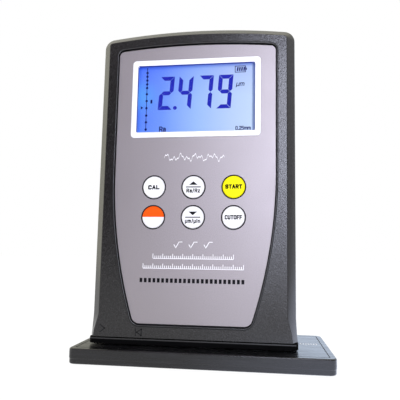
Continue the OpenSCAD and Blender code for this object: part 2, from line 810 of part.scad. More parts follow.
module lead_nut() {
  color([0.8, 0.62, 0.25]) in_tester() difference() {
    rod_x(carriage_x, carriage_x + nut_len, drive_y, screw_z, nut_r - 1);
    rod_x(carriage_x - 1, carriage_x + nut_len + 1, drive_y, screw_z, rod_d / 2 + run_play);
  }
}

// Pick-up: a tube with a tapered nose, hollow for the arm, open below for the stylus
module pickup_tube() {
  nose = 3;
  nose_r = 2.7;
  bore_end = -4;
  profile = [
    [0, tube_nose_x], [nose_r, tube_nose_x], [tube_r, tube_nose_x + nose],
    [tube_r, tube_end_x - 0.1], [0, tube_end_x - 0.1]];
  color([0.78, 0.79, 0.8]) in_tester() difference() {
    translate([0, drive_y, tube_z]) rotate([0, 90, 0]) rotate_extrude() polygon(profile);
    rod_x(tube_nose_x + 1.4, bore_end, drive_y, tube_z, tube_bore_r);
    box(stylus_x - 1, stylus_x + 1, drive_y - 0.9, drive_y + 0.9, -tube_r - 1, tube_z);
    rod_y(pivot_x, tube_z, drive_y - tube_r - 1, drive_y + tube_r + 1, pivot_r + 0.01);
    translate([skid_x, drive_y, -tube_r]) cylinder(h = tube_r + tube_z, r = 1.01);
  }
}

module pickup_skid() {
  sole_r = 1.6;
  color([0.85, 0.86, 0.88]) in_tester() translate([skid_x, drive_y, 0]) rotate_extrude()
    polygon(concat([[0, tube_z - tube_bore_r - 0.1], [0, stylus_foot_z]],
                   [for (i = [1:4]) [sole_r * i / 4, stylus_foot_z + 0.5 * pow(i / 4, 2)]],
                   [[1, stylus_foot_z + 0.5], [1, tube_z - tube_bore_r - 0.1]]));
}

module pickup_coils() {
  color([0.72, 0.4, 0.2]) in_tester() for (s = [-1, 1])
    translate([pivot_x + 5, drive_y, tube_z + s * 1.55]) cylinder(h = 1.2, r = 1, center = true);
}

module stylus_pin() {
  color([0.8, 0.8, 0.82]) in_tester()
    rod_y(pivot_x, tube_z, drive_y - tube_r + 0.2, drive_y + tube_r - 0.2, pivot_r);
}

module stylus_arm() {
  hub_r = 1.5;
  tip_len = 0.9;
  color([0.9, 0.9, 0.92]) in_tester() difference() {
    union() {
      rod_x(stylus_x - stylus_r, pivot_x + 6.5, drive_y, tube_z, stylus_r);
      rod_y(pivot_x, tube_z, drive_y - 1, drive_y + 1, hub_r);
      translate([stylus_x, drive_y, stylus_foot_z + tip_len])
        cylinder(h = tube_z - stylus_foot_z - tip_len, r = stylus_r);
      translate([stylus_x, drive_y, stylus_foot_z]) cylinder(h = tip_len + eps, r1 = 0.08, r2 = stylus_r);
    }
    rod_y(pivot_x, tube_z, drive_y - 2, drive_y + 2, pivot_r + run_play);
  }
}

base_plate();
specimen();
front_housing();
rear_housing();
bottom_cover();
rubber_feet();
housing_screws();
cover_screws();
face_overlay();
display_frame();
display_lens();
key_cal();
key_up();
key_start();
key_power();
key_down();
key_cutoff();
main_board();
board_screws();
lcd_glass();
lcd_backlight();
lcd_connectors();
key_switches();
processor();
memory_chips();
clock_crystal();
buzzer();
data_socket();
battery_door();
battery_cells();
battery_springs();
battery_contacts();
drive_frame();
drive_screws();
guide_rods();
screw_bushes();
drive_motor();
motor_pinion();
lead_screw();
screw_gear();
carriage();
lead_nut();
pickup_tube();
pickup_skid();
pickup_coils();
stylus_pin();
stylus_arm();
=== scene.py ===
"""Looks of the surface roughness tester: finishes, display picture, key legends, light and camera."""
import json
import math

import bmesh
import bpy
from mathutils import Matrix, Vector


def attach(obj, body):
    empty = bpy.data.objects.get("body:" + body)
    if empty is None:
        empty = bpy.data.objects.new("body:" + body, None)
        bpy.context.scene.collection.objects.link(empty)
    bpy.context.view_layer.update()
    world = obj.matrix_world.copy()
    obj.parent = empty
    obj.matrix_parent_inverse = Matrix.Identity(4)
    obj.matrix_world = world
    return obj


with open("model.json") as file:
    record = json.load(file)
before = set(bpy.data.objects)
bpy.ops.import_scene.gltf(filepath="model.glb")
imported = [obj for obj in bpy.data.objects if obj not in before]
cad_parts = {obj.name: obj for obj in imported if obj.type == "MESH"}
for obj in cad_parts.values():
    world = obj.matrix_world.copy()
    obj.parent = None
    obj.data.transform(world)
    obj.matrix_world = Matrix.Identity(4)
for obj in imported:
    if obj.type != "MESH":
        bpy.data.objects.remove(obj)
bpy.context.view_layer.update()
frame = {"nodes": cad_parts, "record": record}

MM = 0.001

# The tester's own frame, in mm: x across, y back from the face, z up from the housing's foot
TESTER = Vector((-4.0, -13.8, 9.2))
FACE_Y = 0.0
KEY_FACE_Y = 0.15
OVERLAY_Y = 0.5
GLASS_Y = 3.4
WINDOW = (-24.35, 24.35, 82.0, 110.5)
KEY_COLUMNS = (-16.1, 0.0, 16.1)
KEY_ROWS = (59.2, 47.1)
KEY_HOLE_R = 4.7
PLATE_TOP = 5.8
PRINT = 0.02

scene = bpy.context.scene
scene.view_settings.view_transform = "Standard"


def in_part(x, y, z):
    """A place of the tester's frame, in the part frame and in metres."""
    return (TESTER + Vector((x, y, z))) * MM


# Node helpers: each adds what its name says and gives back the output

NOISE_LOW, NOISE_HIGH = 0.3, 0.7
CLOUD_MM = 9.0
GRAIN_DEPTH_MM = 0.02
WHITE = (1.0, 1.0, 1.0, 1.0)


def new_material(name):
    mat = bpy.data.materials.new(name)
    mat.use_nodes = True
    return mat, mat.node_tree.nodes, mat.node_tree.links, mat.node_tree.nodes["Principled BSDF"]


def put(links, socket, value):
    """Link a socket to another one, or set it to a plain value."""
    if isinstance(value, bpy.types.NodeSocket):
        links.new(value, socket)
    else:
        socket.default_value = value


def noise(nodes, links, size_mm, detail=2.0, rough=0.5, stretch=None):
    """Noise over object coordinates whose features are about size_mm across."""
    place = nodes.new("ShaderNodeTexCoord").outputs["Object"]
    if stretch:
        mapping = nodes.new("ShaderNodeMapping")
        mapping.inputs["Scale"].default_value = stretch
        links.new(place, mapping.inputs["Vector"])
        place = mapping.outputs["Vector"]
    tex = nodes.new("ShaderNodeTexNoise")
    tex.inputs["Scale"].default_value = 1.0 / MM / size_mm
    tex.inputs["Detail"].default_value = detail
    tex.inputs["Roughness"].default_value = rough
    links.new(place, tex.inputs["Vector"])
    return tex.outputs["Fac"]


def ramp(nodes, links, source, stops):
    node = nodes.new("ShaderNodeValToRGB")
    elements = node.color_ramp.elements
    while len(elements) < len(stops):
        elements.new(0.5)
    for element, (place, colour) in zip(elements, stops):
        element.position = place
        element.color = (*colour, 1.0)
    links.new(source, node.inputs["Fac"])
    return node.outputs["Color"]


def two_tone(nodes, links, source, dark, light):
    return ramp(nodes, links, source, ((NOISE_LOW, dark), (NOISE_HIGH, light)))


def span(nodes, links, source, low, high, to_low=0.0, to_high=1.0, eased=False):
    """Carry the range from low to high over to another range."""
    node = nodes.new("ShaderNodeMapRange")
    if eased:
        node.interpolation_type = "SMOOTHSTEP"
    limits = {"From Min": low, "From Max": high, "To Min": to_low, "To Max": to_high}
    for socket, value in limits.items():
        node.inputs[socket].default_value = value
    links.new(source, node.inputs["Value"])
    return node.outputs["Result"]


def spread(nodes, links, source, low, high):
    return span(nodes, links, source, NOISE_LOW, NOISE_HIGH, low, high)


def object_axis(nodes, links, axis, low_mm, high_mm):
    """0 to 1 along an object axis between two places of the part frame."""
    split = nodes.new("ShaderNodeSeparateXYZ")
    links.new(nodes.new("ShaderNodeTexCoord").outputs["Object"], split.inputs["Vector"])
    return span(nodes, links, split.outputs[axis], low_mm * MM, high_mm * MM)


def calculated(nodes, links, operation, *values):
    node = nodes.new("ShaderNodeMath")
    node.operation = operation
    for socket, value in zip(node.inputs, values):
        put(links, socket, value)
    return node.outputs[0]


def mixed(nodes, links, share, first, second, blend="MIX"):
    node = nodes.new("ShaderNodeMix")
    node.data_type = "RGBA"
    node.blend_type = blend
    for socket, value in (("Factor", share), ("A", first), ("B", second)):
        put(links, node.inputs[socket], value)
    return node.outputs["Result"]


def emboss(nodes, links, shader, height, strength, depth_mm):
    relief = nodes.new("ShaderNodeBump")
    put(links, relief.inputs["Strength"], strength)
    relief.inputs["Distance"].default_value = depth_mm * MM
    links.new(height, relief.inputs["Height"])
    links.new(relief.outputs["Normal"], shader.inputs["Normal"])


def shade(colour, factor):
    return tuple(min(1.0, c * factor) for c in colour)


def finish(name, colour, rough, metallic=0.0, grain=0.4, vary=0.1, bump=0.15, gloss=0.5):
    """Plain finish: fine grain in the colour and relief, and slow clouds in the roughness."""
    mat, nodes, links, shader = new_material(name)
    fine = noise(nodes, links, grain, detail=3.0, rough=0.6)
    tint = two_tone(nodes, links, fine, shade(colour, 1 - vary), shade(colour, 1 + vary))
    links.new(tint, shader.inputs["Base Color"])
    slow = noise(nodes, links, CLOUD_MM, detail=3.0)
    links.new(spread(nodes, links, slow, rough * 0.9, rough * 1.1), shader.inputs["Roughness"])
    shader.inputs["Metallic"].default_value = metallic
    shader.inputs["Specular IOR Level"].default_value = gloss
    emboss(nodes, links, shader, fine, bump, GRAIN_DEPTH_MM)
    return mat


# Housing: spark-eroded black plastic, grained on its broad faces and smoother on the bevels

def housing_material():
    mat, nodes, links, shader = new_material("housing_plastic")
    grain = noise(nodes, links, size_mm=0.5, rough=0.6)
    tint = two_tone(nodes, links, grain, (0.0035, 0.003, 0.003), (0.0185, 0.0175, 0.0175))
    links.new(tint, shader.inputs["Base Color"])
    facing = nodes.new("ShaderNodeSeparateXYZ")
    links.new(nodes.new("ShaderNodeNewGeometry").outputs["Normal"], facing.inputs["Vector"])
    broad = calculated(nodes, links, "ABSOLUTE", facing.outputs["Y"])
    strength = span(nodes, links, broad, low=0.86, high=0.97, to_low=0.06)
    emboss(nodes, links, shader, grain, strength, depth_mm=0.055)
    slow = noise(nodes, links, size_mm=12.0, detail=3.0)
    links.new(spread(nodes, links, slow, 0.24, 0.27), shader.inputs["Roughness"])
    return mat


# Plate: smooth black moulding with faint scuffs drawn out along its length

SCUFF_STRETCH = (0.07, 1.0, 1.0)
SCUFF_TINTS = (
    (0.38, (0.0045, 0.0045, 0.005)), (0.62, (0.0085, 0.0085, 0.0095)), (0.75, (0.02, 0.02, 0.022)))


def plate_material():
    mat, nodes, links, shader = new_material("plate_plastic")
    scuffs = noise(nodes, links, size_mm=1.0, detail=3.0, rough=0.6, stretch=SCUFF_STRETCH)
    links.new(ramp(nodes, links, scuffs, SCUFF_TINTS), shader.inputs["Base Color"])
    links.new(spread(nodes, links, scuffs, 0.2, 0.36), shader.inputs["Roughness"])
    shader.inputs["Specular IOR Level"].default_value = 0.46
    fine = noise(nodes, links, size_mm=0.7, detail=3.0, rough=0.6)
    emboss(nodes, links, shader, fine, strength=0.1, depth_mm=0.03)
    return mat


# Overlay: satin silver-lilac print with a fine metallic speckle

def overlay_material():
    mat, nodes, links, shader = new_material("overlay_film")
    speckle = noise(nodes, links, size_mm=0.35, rough=0.7)
    tint = two_tone(nodes, links, speckle, (0.284, 0.259, 0.265), (0.347, 0.317, 0.324))
    links.new(tint, shader.inputs["Base Color"])
    shader.inputs["Metallic"].default_value = 0.7
    slow = noise(nodes, links, size_mm=15.0, detail=3.0)
    links.new(spread(nodes, links, slow, 0.46, 0.49), shader.inputs["Roughness"])
    emboss(nodes, links, shader, speckle, strength=0.12, depth_mm=GRAIN_DEPTH_MM)
    return mat


# Display: blue backlight, paler to the right, in the shade of the frame along its top and right edges

SEEN_ABOVE = 1.0
GLOW = (
    (0.0, (0.085, 0.22, 0.95)), (0.06, (0.11, 0.235, 0.95)), (0.2, (0.15, 0.29, 0.95)),
    (0.5, (0.325, 0.5, 0.955)), (0.8, (0.49, 0.63, 0.93)), (1.0, (0.575, 0.71, 0.94)))
TOP_SHADE = (
    (0.0, (1.03, 1.03, 1.0)), (0.53, (1.0, 1.0, 1.0)), (0.82, (0.88, 0.88, 1.0)),
    (0.945, (0.84, 0.84, 0.98)), (0.966, (0.66, 0.69, 0.92)), (0.983, (0.42, 0.47, 0.82)),
    (1.0, (0.3, 0.36, 0.7)))
EDGE_SHADE = (
    (0.0, (0.8, 0.8, 0.9)), (0.015, (1.0, 1.0, 1.0)), (0.968, (1.0, 1.0, 1.0)),
    (0.982, (0.3, 0.33, 0.5)), (1.0, (0.2, 0.22, 0.33)))
SPOT_AT = (WINDOW[0] + 0.8, GLASS_Y, 98.5)
SPOT_CORE, SPOT_RIM = 0.5 * MM, 9.0 * MM
SPOT_BLUE = (0.09, 0.36, 0.98, 1.0)


def display_material():
    mat, nodes, links, shader = new_material("display_glass")
    left, right, low, high = WINDOW
    across = object_axis(nodes, links, "X", TESTER.x + left, TESTER.x + right)
    upward = object_axis(nodes, links, "Z", TESTER.z + low, TESTER.z + high + SEEN_ABOVE)
    light = ramp(nodes, links, across, GLOW)
    for place, stops in ((upward, TOP_SHADE), (across, EDGE_SHADE)):
        light = mixed(nodes, links, 1.0, light, ramp(nodes, links, place, stops), "MULTIPLY")
    away = nodes.new("ShaderNodeVectorMath")
    away.operation = "DISTANCE"
    links.new(nodes.new("ShaderNodeTexCoord").outputs["Object"], away.inputs[0])
    away.inputs[1].default_value = in_part(*SPOT_AT)
    spot = span(nodes, links, away.outputs["Value"], SPOT_CORE, SPOT_RIM, 0.7, 0.0, eased=True)
    links.new(mixed(nodes, links, spot, light, SPOT_BLUE), shader.inputs["Emission Color"])
    shader.inputs["Emission Strength"].default_value = 1.0
    shader.inputs["Base Color"].default_value = (0.02, 0.03, 0.06, 1.0)
    shader.inputs["Roughness"].default_value = 0.4
    shader.inputs["Specular IOR Level"].default_value = 0.03
    return mat


def clear_material():
    mat, nodes, links, shader = new_material("clear_window")
    shader.inputs["Base Color"].default_value = (0.97, 0.98, 1.0, 1.0)
    shader.inputs["Transmission Weight"].default_value = 1.0
    shader.inputs["IOR"].default_value = 1.07
    slow = noise(nodes, links, size_mm=6.0)
    links.new(spread(nodes, links, slow, 0.0, 0.015), shader.inputs["Roughness"])
    return mat


# Power key: orange above its middle, white below

POWER_ORANGE = (0.93, 0.1, 0.004)
POWER_WHITE = (0.84, 0.84, 0.84)
POWER_SPLIT = KEY_ROWS[1] + 0.05


def power_key_material():
    mat, nodes, links, shader = new_material("key_orange")
    place = object_axis(nodes, links, "Z", TESTER.z + POWER_SPLIT - 5.0, TESTER.z + POWER_SPLIT + 5.0)
    tint = ramp(nodes, links, place, ((0.495, POWER_WHITE), (0.505, POWER_ORANGE)))
    links.new(tint, shader.inputs["Base Color"])
    slow = noise(nodes, links, size_mm=3.0)
    links.new(spread(nodes, links, slow, 0.405, 0.495), shader.inputs["Roughness"])
    shader.inputs["Specular IOR Level"].default_value = 0.1
    return mat


# Specimen: ground lay, fine parallel grooves across the stylus path

def ground_material():
    mat, nodes, links, shader = new_material("specimen_steel")
    wave = nodes.new("ShaderNodeTexWave")
    wave.inputs["Scale"].default_value = 900.0
    wave.inputs["Distortion"].default_value = 1.5
    links.new(nodes.new("ShaderNodeTexCoord").outputs["Object"], wave.inputs["Vector"])
    tint = ramp(nodes, links, wave.outputs["Fac"], ((0.0, (0.5, 0.5, 0.51)), (1.0, (0.64, 0.65, 0.66))))
    links.new(tint, shader.inputs["Base Color"])
    shader.inputs["Metallic"].default_value = 1.0
    shader.inputs["Roughness"].default_value = 0.3
    return mat


SLOT_MATERIALS = {
    "housing_plastic": housing_material(),
    "plate_plastic": plate_material(),
    "overlay_film": overlay_material(),
    "display_glass": display_material(),
    "clear_window": clear_material(),
    "key_orange": power_key_material(),
    "specimen_steel": ground_material(),
}

# Plain finishes by slot: colour, roughness, and what differs from the usual grain and gloss
PLAIN_FINISHES = {
    # cover_plastic is near black, darker than the housing: partly its own colour, partly painted shade for
    # the gap under the housing
    "cover_plastic": ((0.0012, 0.0012, 0.0013), 0.75, {"grain": 0.5, "gloss": 0.06}),
    "rubber_black": ((0.003, 0.003, 0.003), 0.8, {"grain": 0.5, "bump": 0.3, "gloss": 0.2}),
    "white_plastic": ((0.87, 0.87, 0.86), 0.35, {"grain": 0.6, "vary": 0.02, "bump": 0.03}),
    "key_white": ((0.88, 0.88, 0.87), 0.4, {"grain": 0.5, "vary": 0.015, "bump": 0.03, "gloss": 0.3}),
    "key_yellow": ((0.93, 0.86, 0.001), 0.45, {"grain": 0.5, "vary": 0.03, "bump": 0.03, "gloss": 0.1}),
    "board_green": ((0.02, 0.13, 0.06), 0.35, {"grain": 1.4, "vary": 0.2}),
    "chip_black": ((0.012, 0.012, 0.014), 0.5, {"grain": 0.3}),
    "zebra_rubber": ((0.12, 0.1, 0.12), 0.7, {"grain": 0.3}),
    "steel": ((0.6, 0.6, 0.62), 0.28, {"metallic": 1.0, "grain": 0.3, "vary": 0.06, "bump": 0.05}),
    "spring_plate": ((0.72, 0.71, 0.68), 0.2, {"metallic": 1.0, "vary": 0.05, "bump": 0.04}),
    "cell_wrap": ((0.5, 0.33, 0.07), 0.3, {"metallic": 0.6, "grain": 2.0, "bump": 0.02}),
    "frame_aluminium": ((0.62, 0.63, 0.64), 0.4, {"metallic": 1.0, "grain": 0.5, "vary": 0.06}),
    "brass": ((0.66, 0.46, 0.16), 0.28, {"metallic": 1.0, "vary": 0.06, "bump": 0.04}),
    "gear_acetal": ((0.78, 0.75, 0.66), 0.4, {"grain": 0.6, "vary": 0.03, "bump": 0.04}),
    "carriage_black": ((0.04, 0.042, 0.048), 0.45, {"grain": 0.5}),
    "copper": ((0.6, 0.26, 0.1), 0.32, {"metallic": 1.0, "grain": 0.25, "vary": 0.12, "bump": 0.2}),
}
for slot, (colour, rough, others) in PLAIN_FINISHES.items():
    SLOT_MATERIALS[slot] = finish(slot, colour, rough, **others)

# Finishes of the printed and trimmed pieces
INK_DARK = finish("ink_dark", (0.007, 0.006, 0.008), 0.55, grain=0.3, bump=0.05, gloss=0.08)
INK_WHITE = finish("ink_white", (0.88, 0.87, 0.87), 0.45, grain=0.3, vary=0.02, bump=0.05)
# Dark blue for the window's inner walls: painted shade and a painted reflection of the display's blue
WALL_SHADE = finish("window_wall_shade", (0.05, 0.085, 0.44), 0.5, grain=0.5, vary=0.05, bump=0.03, gloss=0.1)
# Darker and duller than the housing: painted shade of the moulded signs' relief
SIGN_SHADE = finish("sign_shade_plastic", (0.007, 0.007, 0.0075), 0.4, bump=0.05, gloss=0.22)
BEAD = finish("bead_plastic", (0.012, 0.012, 0.0125), 0.3, bump=0.05, gloss=0.75)
# Near black and dull: painted shade for the gap around the overlay and the shadow line beside it
GAP_SHADE = finish("painted_gap_shade", (0.007, 0.007, 0.0075), 0.55, grain=0.5, bump=0.05, gloss=0.16)
# Lighter and glossier than the cover: painted highlight along the cover's top edge
EDGE_HIGHLIGHT = finish("edge_highlight_plastic", (0.014, 0.0135, 0.014), 0.3, bump=0.05)


def liquid_crystal(name, colour):
    mat, nodes, links, shader = new_material(name)
    cloud = noise(nodes, links, size_mm=2.0)
    tint = two_tone(nodes, links, cloud, shade(colour, 0.92), shade(colour, 1.08))
    links.new(tint, shader.inputs["Emission Color"])
    shader.inputs["Emission Strength"].default_value = 1.0
    shader.inputs["Base Color"].default_value = (0.004, 0.004, 0.02, 1.0)
    shader.inputs["Roughness"].default_value = 0.6
    shader.inputs["Specular IOR Level"].default_value = 0.0
    return mat


CRYSTAL = liquid_crystal("crystal", (0.02, 0.026, 0.47))
CRYSTAL_FINE = liquid_crystal("crystal_fine", (0.008, 0.012, 0.12))


# Rounded shading for the solids: smooth across shallow edges, sharp across the rest

WELD_MM = 0.004


def soft_edges(angle_deg):
    tree = bpy.data.node_groups.new("soft_edges", "GeometryNodeTree")
    tree.interface.new_socket("Geometry", in_out="INPUT", socket_type="NodeSocketGeometry")
    tree.interface.new_socket("Geometry", in_out="OUTPUT", socket_type="NodeSocketGeometry")
    nodes, links = tree.nodes, tree.links
    start, end = nodes.new("NodeGroupInput"), nodes.new("NodeGroupOutput")
    weld = nodes.new("GeometryNodeMergeByDistance")
    weld.inputs["Distance"].default_value = WELD_MM * MM
    angle = nodes.new("GeometryNodeInputMeshEdgeAngle")
    steep = nodes.new("FunctionNodeCompare")
    steep.inputs["B"].default_value = math.radians(angle_deg)
    normals = nodes.new("GeometryNodeSetMeshNormal")
    normals.inputs["Remove Custom"].default_value = True
    normals.inputs["Face Sharpness"].default_value = False
    links.new(start.outputs["Geometry"], weld.inputs["Geometry"])
    links.new(weld.outputs["Geometry"], normals.inputs["Mesh"])
    links.new(angle.outputs["Unsigned Angle"], steep.inputs["A"])
    links.new(steep.outputs["Result"], normals.inputs["Edge Sharpness"])
    links.new(normals.outputs["Mesh"], end.inputs["Geometry"])
    return tree


SOFT_EDGES = soft_edges(28.0)
CRISP_EDGES = soft_edges(16.0)
CRISP = ("front_housing", "rear_housing", "base_plate")
for part in frame["record"]["subparts"]:
    solid = frame["nodes"][part["node"]]
    solid.data.materials.clear()
    solid.data.materials.append(SLOT_MATERIALS[part["material_slot"]])
    rounding = solid.modifiers.new("soft_edges", "NODES")
    rounding.node_group = CRISP_EDGES if part["node"] in CRISP else SOFT_EDGES


# Thin printed pieces, drawn in the tester's frame as outlines in x and z, counter-clockwise from the front

def add_piece(name, bm, mat, body="tester", rounded=False):
    bmesh.ops.recalc_face_normals(bm, faces=bm.faces)
    for face in bm.faces:
        face.smooth = rounded
    mesh = bpy.data.meshes.new(name)
    bm.to_mesh(mesh)
    bm.free()
    mesh.materials.append(mat)
    piece = bpy.data.objects.new(name, mesh)
    scene.collection.objects.link(piece)
    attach(piece, body)


def add_prism(bm, first, second):
    """Close two like outlines into a solid."""
    front = [bm.verts.new(place) for place in first]
    back = [bm.verts.new(place) for place in second]
    bm.faces.new(front)
    bm.faces.new(back[::-1])
    for i in range(len(front)):
        j = (i + 1) % len(front)
        bm.faces.new((front[j], front[i], back[i], back[j]))


def add_tube(bm, loops):
    """Join closed loops, each to the next one and the last to the first."""
    rings = [[bm.verts.new(place) for place in loop] for loop in loops]
    for a, b in zip(rings, rings[1:] + rings[:1]):
        for i in range(len(a)):
            j = (i + 1) % len(a)
            bm.faces.new((a[i], a[j], b[j], b[i]))


def printed(name, outlines, y, mat, body="tester", thick=PRINT):
    bm = bmesh.new()
    for outline in outlines:
        front = [in_part(x, y - thick, z) for x, z in outline]
        back = [in_part(x, y, z) for x, z in outline]
        add_prism(bm, front, back)
    add_piece(name, bm, mat, body)


def disc(x, z, r, n=24):
    turns = [2 * math.pi * i / n for i in range(n)]
    return [(x + r * math.cos(a), z + r * math.sin(a)) for a in turns]


def bar(x0, x1, z0, z1):
    return [(x0, z0), (x1, z0), (x1, z1), (x0, z1)]


def border(x0, x1, z0, z1, thick):
    """Four bars around a rectangle, inside its edges."""
    return [bar(x0, x1, z1 - thick, z1), bar(x0, x1, z0, z0 + thick),
            bar(x0, x0 + thick, z0 + thick, z1 - thick), bar(x1 - thick, x1, z0 + thick, z1 - thick)]


def flat_profile(inner, outer, y, thick):
    """Section of a flat band: places across it, each with its y."""
    return ((inner, y), (inner, y - thick), (outer, y - thick), (outer, y))


def stroke(x0, z0, x1, z1, thick):
    """One straight pen stroke with square ends."""
    along = Vector((x1 - x0, z1 - z0)).normalized() * thick / 2
    side = Vector((-along.y, along.x))
    a, b = Vector((x0, z0)) - along, Vector((x1, z1)) + along
    return [tuple(a - side), tuple(b - side), tuple(b + side), tuple(a + side)]


# Letters: a width, and lines of x and z in turn through a box that is one unit wide and high
GLYPHS = {
    "A": (1.0, ((0, 0, 0.5, 1, 1, 0), (0.2, 0.35, 0.8, 0.35))),
    "C": (1.0, ((1, 0.85, 0.8, 1, 0.2, 1, 0, 0.8, 0, 0.2, 0.2, 0, 0.8, 0, 1, 0.15),)),
    "F": (0.9, ((0, 0, 0, 1, 1, 1), (0, 0.5, 0.8, 0.5))),
    "L": (0.9, ((0, 1, 0, 0, 1, 0),)),
    "O": (1.05, ((0.2, 0, 0.8, 0, 1, 0.2, 1, 0.8, 0.8, 1, 0.2, 1, 0, 0.8, 0, 0.2, 0.2, 0),)),
    "R": (1.0, ((0, 0, 0, 1, 0.75, 1, 1, 0.85, 1, 0.6, 0.75, 0.45, 0, 0.45), (0.5, 0.45, 1, 0))),
    "S": (1.0, ((1, 0.85, 0.8, 1, 0.2, 1, 0, 0.82, 0, 0.65, 0.2, 0.5,
                 0.8, 0.5, 1, 0.35, 1, 0.18, 0.8, 0, 0.2, 0, 0, 0.15),)),
    "T": (1.0, ((0, 1, 1, 1), (0.5, 1, 0.5, 0))),
    "U": (1.0, ((0, 1, 0, 0.2, 0.2, 0, 0.8, 0, 1, 0.2, 1, 1),)),
    "a": (0.85, ((0.1, 0.7, 0.8, 0.7, 1, 0.55, 1, 0), (1, 0.4, 0.2, 0.4, 0, 0.2, 0.2, 0, 1, 0.05))),
    "i": (0.2, ((0.5, 0, 0.5, 0.7), (0.5, 0.95, 0.5, 1.05))),
    "m": (1.4, ((0, 0, 0, 0.7), (0, 0.55, 0.15, 0.7, 0.4, 0.7, 0.5, 0.55, 0.5, 0),
                (0.5, 0.55, 0.65, 0.7, 0.85, 0.7, 1, 0.55, 1, 0))),
    "n": (0.85, ((0, 0, 0, 0.7), (0, 0.5, 0.25, 0.7, 0.75, 0.7, 1, 0.5, 1, 0))),
    "z": (0.8, ((0, 0.7, 1, 0.7, 0, 0, 1, 0),)),
    "µ": (0.85, ((0, 0.7, 0, -0.3), (0, 0.2, 0.2, 0, 0.8, 0, 1, 0.2), (1, 0.7, 1, 0))),
    "/": (0.5, ((0, -0.1, 1, 1.05),)),
    "0": (0.85, ((0.2, 0, 0.8, 0, 1, 0.2, 1, 0.8, 0.8, 1, 0.2, 1, 0, 0.8, 0, 0.2, 0.2, 0),)),
    "2": (0.85, ((0, 0.8, 0.2, 1, 0.8, 1, 1, 0.8, 1, 0.6, 0, 0.1, 0, 0, 1, 0),)),
    "5": (0.85, ((1, 1, 0, 1, 0, 0.55, 0.75, 0.55, 1, 0.4, 1, 0.15, 0.8, 0, 0, 0),)),
    ".": (0.2, ((0.5, 0, 0.5, 0.08),)),
}


def lettered(words, x, z, height, width, pen, gap, slant=0.0):
    """Outlines of pen-stroke lettering, centred on x and z, of a set height and width."""
    total = sum(GLYPHS[c][0] for c in words) + gap * (len(words) - 1)
    unit = (width - pen) / total
    tall = height - pen
    outlines, at = [], x - width / 2 + pen / 2
    for c in words:
        wide, lines = GLYPHS[c]
        for line in lines:
            points = []
            for px, pz in zip(line[::2], line[1::2]):
                rise = (pz - 0.5) * tall
                points.append((at + px * wide * unit + rise * slant, z + rise))
            outlines += [stroke(*p0, *p1, pen) for p0, p1 in zip(points, points[1:])]
        at += (wide + gap) * unit
    return outlines


# Display picture: slanted seven-segment figures, a range scale, a cell mark and small readings

FIGURE_W, FIGURE_H, STROKE, NICK, LEAN = 6.0, 14.38, 1.7, 0.08, 0.075
FIGURE_FOOT = 92.44
FIGURES = (("2", -16.4), ("4", -8.4), ("7", 0.1), ("9", 8.25))
SEGMENTS_OF = {"2": "abged", "4": "fgbc", "7": "abc", "9": "abcdfg"}
POINT = disc(-9.04, 93.2, 0.8)
PICTURE_Y = GLASS_Y - 0.04


def segment(which):
    w, h, t, k = FIGURE_W, FIGURE_H, STROKE, NICK
    half = h / 2
    if which in "ad":
        shape = [(t + k, h - t), (w - t - k, h - t), (w - k, h), (k, h)]
    elif which == "g":
        shape = [(t / 2 + k, half), (t + k, half - t / 2), (w - t - k, half - t / 2), (w - t / 2 - k, half),
                 (w - t - k, half + t / 2), (t + k, half + t / 2)]
    else:
        shape = [(0, half + t / 2 + k), (t / 2, half + k), (t, half + t / 2 + k), (t, h - t - k), (0, h - k)]
    if which in "bc":
        shape = [(w - x, z) for x, z in shape][::-1]
    if which in "cde":
        shape = [(x, h - z) for x, z in shape][::-1]
    return shape


figures = []
for figure, x0 in FIGURES:
    for which in SEGMENTS_OF[figure]:
        figures.append([(x0 + x + z * LEAN, FIGURE_FOOT + z) for x, z in segment(which)])
printed("display_figures", figures + [POINT], PICTURE_Y, CRYSTAL)

SCALE_X = -21.26
SCALE_HALF = 0.13
SCALE_DOTS = (108.8, 107.2, 105.5, 103.8, 102.2, 99.5, 96.5, 93.4, 90.2, 87.3, 84.2)
DOT_R = 0.52
SCALE_POINTER = [(-23.7, 92.9), (-22.6, 93.6), (-23.7, 94.3)]
SCALE_BLOCK = bar(-19.6, -18.8, 95.4, 97.0)
scale_marks = [bar(SCALE_X - SCALE_HALF, SCALE_X + SCALE_HALF, 83.5, 111.0)]
scale_marks += [disc(SCALE_X + 0.02, z, DOT_R) for z in SCALE_DOTS]
printed("display_scale", scale_marks + [SCALE_POINTER, SCALE_BLOCK], PICTURE_Y, CRYSTAL_FINE)

CELL = (15.85, 20.4, 107.6, 110.45)
CELL_PEN = 0.28
CELL_BARS, CELL_START, CELL_PITCH = 4, 0.75, 0.9
BAR_W, BAR_LEAN, BAR_LOW, BAR_HIGH = 0.62, 0.2, 108.2, 109.85
cell_marks = border(*CELL, CELL_PEN) + [bar(CELL[1], CELL[1] + 0.4, 108.55, 109.5)]
for i in range(CELL_BARS):
    x0 = CELL[0] + CELL_START + CELL_PITCH * i
    x1 = x0 + BAR_LEAN
    cell_marks.append([(x0, BAR_LOW), (x0 + BAR_W, BAR_LOW), (x1 + BAR_W, BAR_HIGH), (x1, BAR_HIGH)])
printed("display_cell", cell_marks, PICTURE_Y, CRYSTAL_FINE)

# Small readings: words, x, z, height, width, pen and slant
READINGS = {
    "display_unit": ("µm", 18.25, 102.75, 2.05, 3.3, 0.3, 0.2),
    "display_parameter": ("Ra", -14.1, 84.2, 2.2, 2.9, 0.42, 0.0),
    "display_cutoff": ("0.25mm", 19.45, 84.0, 1.6, 6.3, 0.3, 0.0),
}
READING_GAP = 0.45
for name, (words, x, z, height, width, pen, slant) in READINGS.items():
    letters = lettered(words, x, z, height, width, pen, READING_GAP, slant)
    printed(name, letters, PICTURE_Y, CRYSTAL_FINE)


# Window walls: a thin dark blue sheet on the frame's inner edges, painted shade with a painted reflection of
# the display's blue

